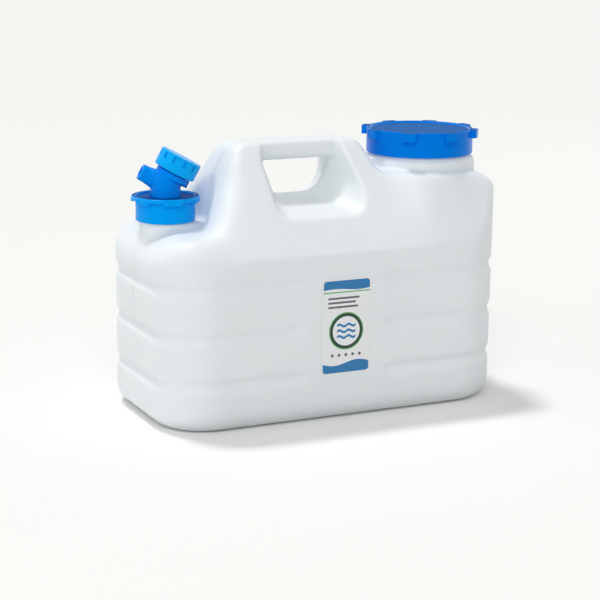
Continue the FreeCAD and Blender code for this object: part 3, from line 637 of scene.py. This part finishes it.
# The bars: length and thickness, run to the left of the middle, drop from the head, and pitch.
BAR_LENGTH, BAR_HEIGHT = 34 * MM, 1.9 * MM
BAR_RUN, BAR_DROP, BAR_PITCH, BAR_COUNT = 19 * MM, 16.5 * MM, 4.1 * MM, 3
# The shortest bar, as a share of the longest.
BAR_SHORTEST = 0.45
# The waves: length, thickness and rise of one, and their pitch.
WAVE_LENGTH, WAVE_HEIGHT, WAVE_RISE = 19 * MM, 2.3 * MM, 1.0 * MM
WAVE_PITCH, WAVE_COUNT = 5.4 * MM, 3
# The dots: radius and sides, rise from the print's foot, and pitch.
DOT_RADIUS, DOT_SIDES = 1.5 * MM, 24
DOT_RISE, DOT_PITCH, DOT_COUNT = 16.5 * MM, 7 * MM, 5
PRINT_SEED = 3


def arc(centre, radius, first, last, steps):
    """Points on a circle between two angles in degrees."""
    points = []
    for step in range(steps + 1):
        angle = math.radians(first + (last - first) * step / steps)
        points.append((centre[0] + radius * math.cos(angle), centre[1] + radius * math.sin(angle)))
    return points


def disc(centre, radius, sides):
    """A regular polygon fine enough to look round."""
    return arc(centre, radius, 0, 360 - 360 / sides, sides - 1)


def level(left, right, foot, height):
    """A plain level strip."""
    return [(left, foot), (right, foot), (right, foot + height), (left, foot + height)]


def band(left, right, edge, inner, wave, corner=3 * MM, steps=32):
    """A band with rounded corners on its outer edge and a waved inner edge."""
    side = 1 if edge > inner else -1
    middle = edge - side * corner
    turns = ((right - corner, 0), (left + corner, 90)) if side > 0 else (
        (left + corner, 180), (right - corner, 270))
    points = []
    for across, start in turns:
        points += arc((across, middle), corner, start, start + 90, ROUND_STEPS)
    first, last = (left, right) if side > 0 else (right, left)
    for step in range(steps + 1):
        part = step / steps
        points.append((first + (last - first) * part, inner + wave * math.sin(2 * math.pi * part)))
    return points


def wave_strip(width, thickness, rise, steps=36):
    """A level strip that waves up and down twice, centred on the origin."""
    def line(offset, order):
        """One edge of the strip."""
        return [
            (width * (step / steps - 0.5), offset + rise * math.sin(4 * math.pi * step / steps))
            for step in order
        ]
    return line(-thickness / 2, range(steps + 1)) + line(thickness / 2, range(steps, -1, -1))


def bar(width, height):
    """A bar whose left end is at the origin, with round ends."""
    half = height / 2
    right_end = arc((width - half, 0), half, -90, 90, ROUND_STEPS)
    return right_end + arc((half, 0), half, 90, 270, ROUND_STEPS)


def printed_shape(work, outline, layer, lift, slot):
    """Adds a thin printed shape on the label's front, raised by as many ink films as its layer."""
    front = layer * lift
    verts = [work.verts.new((across, -front, up)) for across, up in outline]
    face = work.faces.new(verts)
    face.normal_update()
    if face.normal.y > 0:
        face.normal_flip()
    face.material_index = slot
    made = bmesh.ops.extrude_face_region(work, geom=[face])
    backs = [item for item in made["geom"] if isinstance(item, bmesh.types.BMVert)]
    bmesh.ops.translate(work, verts=backs, vec=(0, lift, 0))
    for item in made["geom"]:
        if isinstance(item, bmesh.types.BMFace):
            item.material_index = slot


def printed_row_tree():
    """Repeats a printed shape along a line, each copy cut to its own share of the length."""
    tree, given = geometry_tree(
        "printed_row",
        [("Count", "NodeSocketInt"), ("Start", "NodeSocketVector"), ("Step", "NodeSocketVector"),
         ("Shortest", "NodeSocketFloat"), ("Seed", "NodeSocketInt"),
         ("Material", "NodeSocketMaterial")],
    )
    line = add_node(
        tree, "GeometryNodeMeshLine",
        {"Count": given["Count"], "Start Location": given["Start"], "Offset": given["Step"]},
    )
    share = add_node(
        tree, "FunctionNodeRandomValue",
        {2: given["Shortest"], 3: 1.0, "Seed": given["Seed"]}, data_type="FLOAT",
    )
    size = add_node(tree, "ShaderNodeCombineXYZ", {"X": share.outputs[1], "Y": 1.0, "Z": 1.0})
    copies = add_node(
        tree, "GeometryNodeInstanceOnPoints",
        {"Points": line.outputs[0], "Instance": given["Geometry"], "Scale": size.outputs[0]},
    )
    finish_tree(tree, copies.outputs[0], given["Material"])
    return tree


def print_piece(name, work, front, inks, tree=None, values=None):
    """Turns printed shapes into a piece on the label's front, repeated by a tree if it has one."""
    mesh = bpy.data.meshes.new(name)
    work.to_mesh(mesh)
    work.free()
    for ink in inks:
        mesh.materials.append(ink)
    piece = link(name, mesh)
    if tree:
        node_tree_modifier(piece, tree, values)
        bake(piece, smooth=False)
    for vert in piece.data.vertices:
        vert.co.y += front
    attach(piece, CAN_BODY)


# ----------------------------------------------------------------------------------------------
# Tap
# ----------------------------------------------------------------------------------------------
# The outlet's axis crosses the knob's axis this far below the joint's place. The sleeve round the
# outlet starts and ends at these distances from there, and stays inside the outlet's wall.
OUTLET_DROP = 7.2 * MM
SLEEVE_START, SLEEVE_END = 7 * MM, 27.3 * MM
SLEEVE_BORE = 6.1 * MM


def outlet_sleeve(work, foot, mouth, root, tip, bore, rings=14, sides=48):
    """A sleeve round the outlet that swells into the stem, open along its bore."""
    turn = (mouth - foot).to_track_quat("Z", "Y")
    grid = []
    for radius_at in (lambda part: tip + (root - tip) * (1 - part) ** 2, lambda part: bore):
        for step in range(rings + 1):
            part = step / rings
            radius = radius_at(part)
            ring = []
            for side in range(sides):
                angle = 2 * math.pi * side / sides
                spoke = Vector((radius * math.cos(angle), radius * math.sin(angle), 0))
                ring.append(work.verts.new(foot.lerp(mouth, part) + turn @ spoke))
            grid.append(ring)
    outside, inside = grid[:rings + 1], grid[rings + 1:]
    loop = outside + inside[::-1]
    for one, two in zip(loop, loop[1:] + loop[:1]):
        for side in range(sides):
            following = (side + 1) % sides
            work.faces.new((one[side], one[following], two[following], two[side]))


# ----------------------------------------------------------------------------------------------
# Stage
# ----------------------------------------------------------------------------------------------
# Name, direction towards the lamp, strength in watts per square metre, and angle in degrees.
SUNS = [
    ("high_key", (-0.12, 0.30, 0.945), 1.4, 9.0),
    ("front_fill", (-0.36, -0.676, 0.643), 0.96, 34.0),
]
# Name, direction towards the lamp, power in watts, width and height in metres.
SOFTBOXES = [
    ("corner_softbox", (-0.93, -0.30, 0.208), 3.4, 0.4, 1.2),
    ("left_strip", (-0.95, 0.237, 0.208), 2.6, 0.16, 1.0),
    ("right_strip", (0.93, 0.28, 0.2), 2.0, 0.2, 0.9),
]
# The point that the lamps aim at, about the can's middle, and how far from it they hang.
LIT_POINT = (0.0, 0.0, 0.12)
LAMP_DISTANCE = 2.2
# Strength of the world as a light; where it is seen, its strength is 1.
WORLD_LIGHT = 0.35
BACKGROUND = linear("FDFDFB")
# What the floor adds of its own where it is seen, so that its shadow stays pale.
FLOOR_GLOW = 0.05


def hang_lamp(scene, light, way):
    """Hangs a lamp in a direction from the can and aims it at the can's middle."""
    lamp = bpy.data.objects.new(light.name, light)
    scene.collection.objects.link(lamp)
    towards = Vector(way).normalized()
    lamp.location = Vector(LIT_POINT) + towards * LAMP_DISTANCE
    lamp.rotation_mode = "QUATERNION"
    lamp.rotation_quaternion = (-towards).to_track_quat("-Z", "Y")


def seen_directly(tree):
    """One for camera, glossy and transmitted rays, and zero for the light that shapes falls in."""
    path = add_node(tree, "ShaderNodeLightPath").outputs
    either = add_node(
        tree, "ShaderNodeMath",
        {0: path["Is Camera Ray"], 1: path["Is Glossy Ray"]}, operation="MAXIMUM",
    )
    return add_node(
        tree, "ShaderNodeMath",
        {0: either.outputs[0], 1: path["Is Transmission Ray"]}, operation="MAXIMUM",
    ).outputs[0]


def floor_material():
    """A plain white floor: lit like any surface, and for the eye nearly white but its shadow."""
    material = bpy.data.materials.new("floor_paper")
    tree = empty_tree(material)
    paper = add_node(tree, "ShaderNodeBsdfDiffuse", {"Color": linear("E6E6E4")})
    seen = add_node(tree, "ShaderNodeBsdfDiffuse", {"Color": linear("F3F3F1")})
    glow = add_node(tree, "ShaderNodeEmission", {"Color": BACKGROUND, "Strength": FLOOR_GLOW})
    lifted = add_node(tree, "ShaderNodeAddShader", {0: seen.outputs[0], 1: glow.outputs[0]})
    mixed = add_node(
        tree, "ShaderNodeMixShader",
        {0: seen_directly(tree), 1: paper.outputs[0], 2: lifted.outputs[0]},
    )
    return close_material(material, tree, mixed)


def make_world(scene):
    """An even white surround, full white where it is seen and dimmer as a light."""
    world = bpy.data.worlds.new("surround")
    tree = empty_tree(world)
    strength = add_node(
        tree, "ShaderNodeMapRange",
        {"Value": seen_directly(tree), "To Min": WORLD_LIGHT, "To Max": 1.0},
    )
    glow = add_node(
        tree, "ShaderNodeBackground", {"Color": BACKGROUND, "Strength": strength.outputs[0]}
    )
    add_node(tree, "ShaderNodeOutputWorld", {"Surface": glow.outputs[0]})
    scene.world = world


# ----------------------------------------------------------------------------------------------
# Operators
# ----------------------------------------------------------------------------------------------
class JERRYCAN_OT_skin(bpy.types.Operator):
    """Remeshes a copy of the can and relaxes it, so that every moulded edge is soft"""

    bl_idname = "jerrycan.skin"
    bl_label = "Blown skin"

    def execute(self, context):
        sizes = context.scene.jerrycan_skin
        skin = link("can_skin", welded_copy("can_body", "can_skin"))
        soften(skin, sizes.voxel, sizes.relax)
        material = hdpe_blow_moulded(sizes.colour)
        spot_tree = round_spot_tree()
        for centre, reach, rounds in round_spots(sizes.shoulder_rounds, sizes.neck_rounds):
            node_tree_modifier(
                skin, spot_tree,
                {"Centre": centre, "Reach": reach, "Rounds": rounds, "Material": material},
            )
        node_tree_modifier(
            skin, blown_wall_tree(),
            {"Depth": sizes.wave_depth, "Size": sizes.wave_size, "Material": material},
        )
        bake(skin)
        # Softening lifts the foot a little, so the skin is set down on the floor again.
        low = min(vert.co.z for vert in skin.data.vertices)
        for vert in skin.data.vertices:
            vert.co.z -= low
        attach(skin, CAN_BODY)
        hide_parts("can_body")
        return {"FINISHED"}


class JERRYCAN_OT_parting_line(bpy.types.Operator):
    """Runs the mould's parting line over the skin, along the plane between front and back"""

    bl_idname = "jerrycan.parting_line"
    bl_label = "Parting line"

    def execute(self, context):
        sizes = context.scene.jerrycan_skin
        skin = bpy.data.objects["can_skin"]
        caps = [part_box("wide_lid"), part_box("tap_cap")]
        line = link("parting_line", seam_path(skin, sizes.seam_foot, caps))
        node_tree_modifier(
            line, seam_tree(),
            {"Width": sizes.seam_width, "Height": sizes.seam_height,
             "Material": skin.data.materials[0]},
        )
        bake(line)
        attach(line, CAN_BODY)
        return {"FINISHED"}


class JERRYCAN_OT_plastics(bpy.types.Operator):
    """Gives the lid, the tap's cap and the knob their dyed polypropylene"""

    bl_idname = "jerrycan.plastics"
    bl_label = "Lid, cap and knob"

    def execute(self, context):
        sizes = context.scene.jerrycan_plastics
        # Material, colour, painted shade of the crown and roughness of each CAD piece.
        finishes = {
            "wide_lid": ("polypropylene_lid", sizes.lid, sizes.painted_top_shade, sizes.lid_roughness),
            "tap_cap": ("polypropylene_cap", sizes.cap, sizes.painted_top_shade, sizes.tap_roughness),
            "tap_knob": ("polypropylene_knob", sizes.knob, sizes.knob, sizes.tap_roughness),
        }
        for node, (name, colour, painted_top_shade, roughness) in finishes.items():
            material = polypropylene_moulded(name, colour, painted_top_shade, sizes.gloss, roughness)
            for place in frame["nodes"][node].material_slots:
                place.material = material
        return {"FINISHED"}


class JERRYCAN_OT_tap(bpy.types.Operator):
    """Swells the tap's outlet into its stem, as the moulded elbow does, and softens its edges"""

    bl_idname = "jerrycan.tap"
    bl_label = "Tap"

    def execute(self, context):
        sizes = context.scene.jerrycan_plastics
        hinge = frame["joints"][0]
        axis = Vector(hinge["axis"]).normalized()
        upward = Vector((0, 0, 1))
        # The outlet stands square to the knob's axis and points as far up as that lets it.
        along = (upward - axis * axis.dot(upward)).normalized()
        middle = Vector(hinge["pos_m"]) - axis * OUTLET_DROP
        tap = link("tap_elbow", welded_copy("tap_body", "tap_elbow"))
        work = bmesh.new()
        work.from_mesh(tap.data)
        outlet_sleeve(
            work, middle + along * SLEEVE_START, middle + along * SLEEVE_END,
            sizes.elbow_root, sizes.elbow_tip, SLEEVE_BORE,
        )
        bmesh.ops.recalc_face_normals(work, faces=work.faces)
        work.to_mesh(tap.data)
        work.free()
        soften(tap, sizes.elbow_cell, sizes.elbow_relax)
        bake(tap)
        tap.data.materials.clear()
        tap.data.materials.append(polypropylene_moulded(
            "polypropylene_tap", sizes.tap, sizes.tap, sizes.gloss, sizes.tap_roughness
        ))
        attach(tap, CAN_BODY)
        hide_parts("tap_body")
        return {"FINISHED"}


class JERRYCAN_OT_label(bpy.types.Operator):
    """Finishes the label film and prints a plain design on it"""

    bl_idname = "jerrycan.label"
    bl_label = "Label"

    def execute(self, context):
        sizes = context.scene.jerrycan_label
        film = printed_film("label_film_polypropylene", sizes.paper)
        for place in frame["nodes"]["label"].material_slots:
            place.material = film
        inks = [
            printed_film("ink_blue", sizes.band),
            printed_film("ink_dark_green", sizes.dark),
            printed_film("ink_leaf_green", sizes.leaf),
            film,
            printed_film("ink_grey", sizes.grey),
        ]
        blue, dark, leaf, white, grey = range(5)
        low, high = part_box("label")
        left, right = low.x + MARGIN, high.x - MARGIN
        foot, head = low.z + MARGIN, high.z - MARGIN
        middle = (low.x + high.x) / 2
        centre = (middle, foot + DISC_RISE)
        lift = sizes.print_lift
        # Outline, ink film and ink of each single shape.
        shapes = [
            (band(left, right, head, head - HEAD_BAND, HEAD_WAVE), 1, blue),
            (band(left, right, foot, foot + FOOT_BAND, FOOT_WAVE), 1, blue),
            (level(left, right, head - LINE_DROP, LINE_HEIGHT), 1, leaf),
            (disc(centre, EDGE_RADIUS, DISC_SIDES), 1, leaf),
            (disc(centre, RING_RADIUS, DISC_SIDES), 2, dark),
            (disc(centre, FIELD_RADIUS, DISC_SIDES), 3, white),
        ]
        work = bmesh.new()
        for outline, layer, slot in shapes:
            printed_shape(work, outline, layer, lift, slot)
        print_piece("label_print", work, low.y, inks)

        # Name, outline, ink film, ink, count, first place, step and shortest copy of each row.
        wave_start = centre[1] - WAVE_PITCH * (WAVE_COUNT - 1) / 2
        dot_start = middle - DOT_PITCH * (DOT_COUNT - 1) / 2
        rows = [
            ("label_bars", bar(BAR_LENGTH, BAR_HEIGHT), 1, grey, BAR_COUNT,
             (middle - BAR_RUN, 0, head - BAR_DROP), (0, 0, -BAR_PITCH), BAR_SHORTEST),
            ("label_waves", wave_strip(WAVE_LENGTH, WAVE_HEIGHT, WAVE_RISE), 4, blue, WAVE_COUNT,
             (middle, 0, wave_start), (0, 0, WAVE_PITCH), 1.0),
            ("label_dots", disc((0, 0), DOT_RADIUS, DOT_SIDES), 1, grey, DOT_COUNT,
             (dot_start, 0, foot + DOT_RISE), (DOT_PITCH, 0, 0), 1.0),
        ]
        tree = printed_row_tree()
        for name, outline, layer, slot, count, start, step, shortest in rows:
            work = bmesh.new()
            printed_shape(work, outline, layer, lift, 0)
            print_piece(name, work, low.y, [inks[slot]], tree, {
                "Count": count, "Start": start, "Step": step, "Shortest": shortest,
                "Seed": PRINT_SEED, "Material": inks[slot],
            })
        return {"FINISHED"}


class JERRYCAN_OT_stage(bpy.types.Operator):
    """Makes the pale floor, the soft lights, the world and the camera"""

    bl_idname = "jerrycan.stage"
    bl_label = "Stage"

    def execute(self, context):
        stage = context.scene.jerrycan_stage
        scene = context.scene
        scene.view_settings.view_transform = "Standard"

        half = stage.floor_size / 2
        mesh = bpy.data.meshes.new("floor")
        mesh.from_pydata(
            [(-half, -half, 0), (half, -half, 0), (half, half, 0), (-half, half, 0)],
            [], [(0, 1, 2, 3)],
        )
        floor = link("floor", mesh)
        mesh.materials.append(floor_material())

        make_world(scene)
        for name, way, strength, spread in SUNS:
            sun = bpy.data.lights.new(name, "SUN")
            sun.energy = strength
            sun.angle = math.radians(spread)
            hang_lamp(scene, sun, way)
        for name, way, power, width, height in SOFTBOXES:
            box = bpy.data.lights.new(name, "AREA")
            box.shape = "RECTANGLE"
            box.energy = power
            box.size, box.size_y = width, height
            hang_lamp(scene, box, way)

        data = bpy.data.cameras.new("camera")
        data.lens = stage.lens
        data.sensor_width = 36.0
        camera = bpy.data.objects.new("camera", data)
        scene.collection.objects.link(camera)
        camera.location = stage.camera_place
        aim = Vector(stage.camera_target) - Vector(stage.camera_place)
        roll = Quaternion((0, 0, 1), stage.camera_roll)
        camera.rotation_mode = "QUATERNION"
        camera.rotation_quaternion = aim.to_track_quat("-Z", "Y") @ roll
        scene.camera = camera
        return {"FINISHED"}


class JERRYCAN_PT_panel(bpy.types.Panel):
    """Lists the settings, and the steps that build the can's looks"""

    bl_idname = "JERRYCAN_PT_panel"
    bl_label = "Water Jerrycan"
    bl_space_type = "VIEW_3D"
    bl_region_type = "UI"
    bl_category = "Jerrycan"

    def draw(self, context):
        for name in GROUPS:
            group = getattr(context.scene, name)
            box = self.layout.box()
            for key in group.__annotations__:
                box.prop(group, key)
        for operator in STEPS:
            self.layout.operator(operator.bl_idname)


# The operators, in the order in which they build the can.
STEPS = (
    JERRYCAN_OT_stage,
    JERRYCAN_OT_skin,
    JERRYCAN_OT_parting_line,
    JERRYCAN_OT_plastics,
    JERRYCAN_OT_tap,
    JERRYCAN_OT_label,
)


def register():
    """Registers the settings, the operators and the panel."""
    for group in GROUPS.values():
        bpy.utils.register_class(group)
    for name, group in GROUPS.items():
        setattr(bpy.types.Scene, name, bpy.props.PointerProperty(type=group))
    for operator in STEPS:
        bpy.utils.register_class(operator)
    bpy.utils.register_class(JERRYCAN_PT_panel)


def unregister():
    """Takes the panel, the operators and the settings away again."""
    bpy.utils.unregister_class(JERRYCAN_PT_panel)
    for operator in reversed(STEPS):
        bpy.utils.unregister_class(operator)
    for name in GROUPS:
        delattr(bpy.types.Scene, name)
    for group in reversed(list(GROUPS.values())):
        bpy.utils.unregister_class(group)


def main():
    register()
    bpy.ops.jerrycan.stage()
    bpy.ops.jerrycan.skin()
    bpy.ops.jerrycan.parting_line()
    bpy.ops.jerrycan.plastics()
    bpy.ops.jerrycan.tap()
    bpy.ops.jerrycan.label()


if __name__ == "__main__":
    main()
